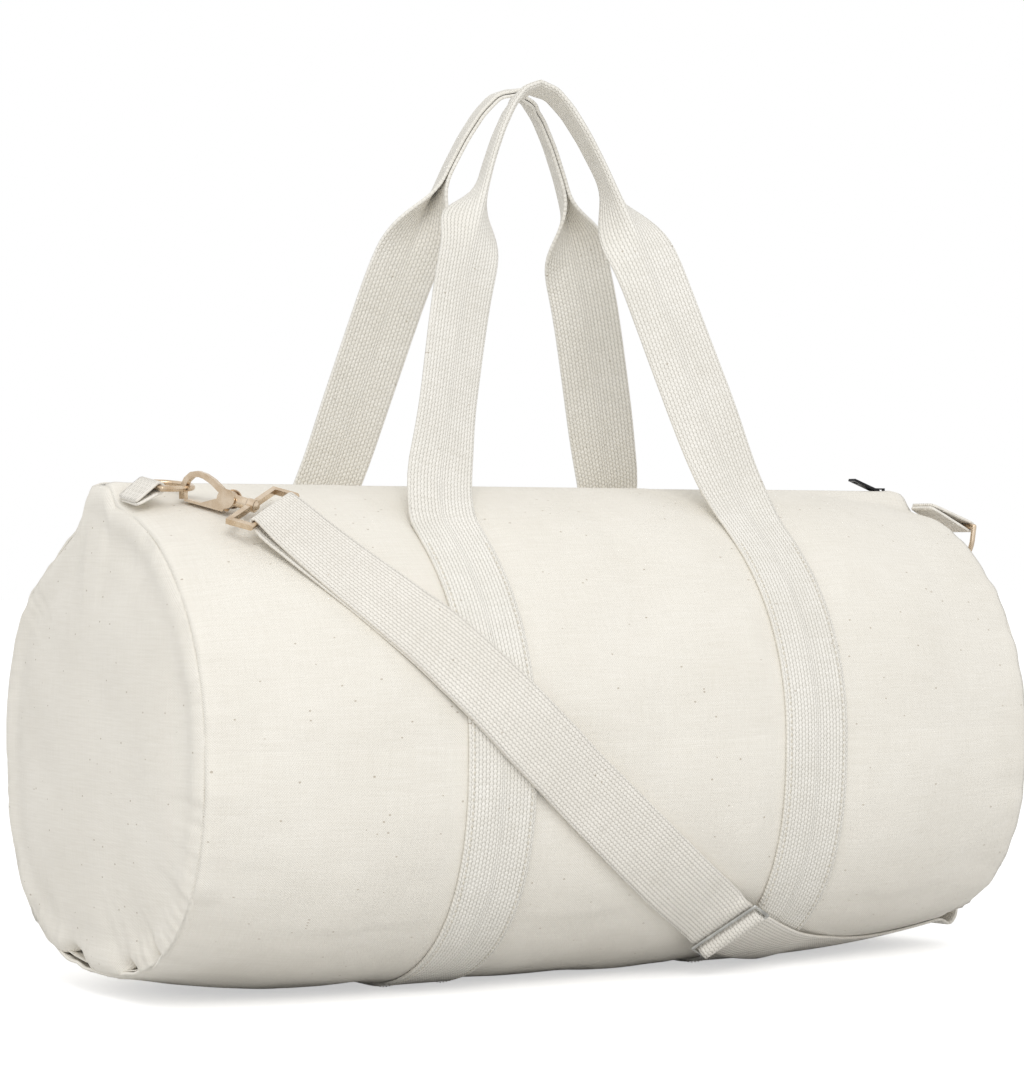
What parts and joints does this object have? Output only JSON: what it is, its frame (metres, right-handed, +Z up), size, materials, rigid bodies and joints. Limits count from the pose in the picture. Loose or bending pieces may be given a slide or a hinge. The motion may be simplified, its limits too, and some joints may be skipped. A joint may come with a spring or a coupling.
{
  "type": "barrel bag",
  "caption": "Cylindrical canvas holdall with a top zip, folded webbing carry handles and a clip-on shoulder strap wrapped round its side.",
  "frame": {"origin": "middle of the resting face, below the middle of the zip", "axes": "+X along the bag away from the end whose hook shows, +Y to the rear, +Z up"},
  "size_m": [0.5576, 0.2764, 0.4921],
  "materials": {
    "canvas": "undyed slubby cotton canvas with brown seed flecks",
    "binding": "plain cotton tape",
    "handle_webbing": "ribbed undyed cotton webbing",
    "strap_webbing": "herringbone undyed cotton webbing",
    "zip_tape": "black woven tape",
    "zip_metal": "black enamelled metal",
    "hook_metal": "satin pale rose gold plating",
    "buckle_metal": "satin nickel plating",
    "spring_steel": "bright spring steel"
  },
  "bodies": {
    "bag": {"main_panel": "canvas", "left_end_panel": "canvas", "right_end_panel": "canvas", "left_seam_binding": "binding", "right_seam_binding": "binding", "zip_tape_front": "zip_tape", "zip_tape_rear": "zip_tape", "zip_teeth_front": "zip_metal", "zip_teeth_rear": "zip_metal", "zip_top_stop": "zip_metal", "zip_bottom_stop": "zip_metal", "left_belly_band": "handle_webbing", "right_belly_band": "handle_webbing", "left_tab": "strap_webbing", "right_tab": "strap_webbing", "strap_upper_layer": "strap_webbing", "strap_lower_layer": "strap_webbing", "strap_weave": "strap_webbing", "strap_free_run": "strap_webbing", "strap_end_run": "strap_webbing"},
    "zip_slider": {"zip_slider": "zip_metal"},
    "zip_pull": {"zip_pull": "zip_metal"},
    "front_handle": {"front_handle": "handle_webbing"},
    "rear_handle": {"rear_handle": "handle_webbing"},
    "left_ring": {"left_ring": "hook_metal"},
    "right_ring": {"right_ring": "hook_metal"},
    "strap_slider": {"strap_slider": "buckle_metal"},
    "left_strap_loop": {"left_strap_loop": "hook_metal", "left_swivel_rivet": "hook_metal"},
    "left_hook": {"left_hook": "hook_metal", "left_gate_rivet": "hook_metal", "left_gate_spring": "spring_steel"},
    "left_gate": {"left_gate": "hook_metal"},
    "right_strap_loop": {"right_strap_loop": "hook_metal", "right_swivel_rivet": "hook_metal"},
    "right_hook": {"right_hook": "hook_metal", "right_gate_rivet": "hook_metal", "right_gate_spring": "spring_steel"},
    "right_gate": {"right_gate": "hook_metal"}
  },
  "joints": [
    {"name": "front_handle_swing", "type": "hinge", "parent": "bag", "child": "front_handle", "pos_m": [0, -0.0646, 0.25379], "axis": [1, 0, 0], "range_deg": [0, 120]},
    {"name": "rear_handle_swing", "type": "hinge", "parent": "bag", "child": "rear_handle", "pos_m": [0, 0.0646, 0.25379], "axis": [-1, 0, 0], "range_deg": [0, 120]},
    {"name": "zip_slide", "type": "slide", "parent": "bag", "child": "zip_slider", "axis": [-1, 0, 0], "range_m": [0, 0.496]},
    {"name": "zip_pull_swing", "type": "hinge", "parent": "zip_slider", "child": "zip_pull", "pos_m": [0.2468, 0, 0.26665], "axis": [0, 1, 0], "range_deg": [-15, 130]},
    {"name": "left_ring_swing", "type": "hinge", "parent": "bag", "child": "left_ring", "pos_m": [-0.24394, -0.0315, 0.26458], "axis": [0, -0.9903, -0.1392], "range_deg": [-2, 1]},
    {"name": "left_loop_tilt", "type": "hinge", "parent": "bag", "child": "left_strap_loop", "pos_m": [-0.19716, -0.07773, 0.25105], "axis": [0.8032, 0.4794, 0.3536], "range_deg": [0, 2]},
    {"name": "left_hook_swivel", "type": "hinge", "parent": "left_strap_loop", "child": "left_hook", "pos_m": [-0.2044, -0.06791, 0.25419], "axis": [-0.5748, 0.7796, 0.2487], "range_deg": [-7, 7]},
    {"name": "left_gate_open", "type": "hinge", "parent": "left_hook", "child": "left_gate", "pos_m": [-0.21204, -0.05754, 0.2575], "axis": [0.8049, 0.5934, 0], "range_deg": [0, 6], "stiffness_Nm_per_rad": 0.02, "springref_deg": -17.19, "deforming": ["left_gate_spring"]},
    {"name": "right_ring_swing", "type": "hinge", "parent": "bag", "child": "right_ring", "pos_m": [0.2848, -0.0315, 0.2453], "axis": [0, -1, 0], "range_deg": [-2, 1]},
    {"name": "right_loop_tilt", "type": "hinge", "parent": "bag", "child": "right_strap_loop", "pos_m": [0.27963, -0.0315, 0.17521], "axis": [0, 1, 0], "range_deg": [0, 2]},
    {"name": "right_hook_swivel", "type": "hinge", "parent": "right_strap_loop", "child": "right_hook", "pos_m": [0.28, -0.0315, 0.1878], "axis": [0.0297, 0, 0.9996], "range_deg": [-7, 7]},
    {"name": "right_gate_open", "type": "hinge", "parent": "right_hook", "child": "right_gate", "pos_m": [0.28039, -0.0315, 0.20109], "axis": [0, 1, 0], "range_deg": [0, 6], "stiffness_Nm_per_rad": 0.02, "springref_deg": -17.19, "deforming": ["right_gate_spring"]},
    {"name": "strap_adjust", "type": "slide", "parent": "bag", "child": "strap_slider", "axis": [0.8231, 0.4152, -0.3875], "range_m": [-0.008, 0.008], "deforming": ["strap_weave", "strap_lower_layer"]}
  ]
}
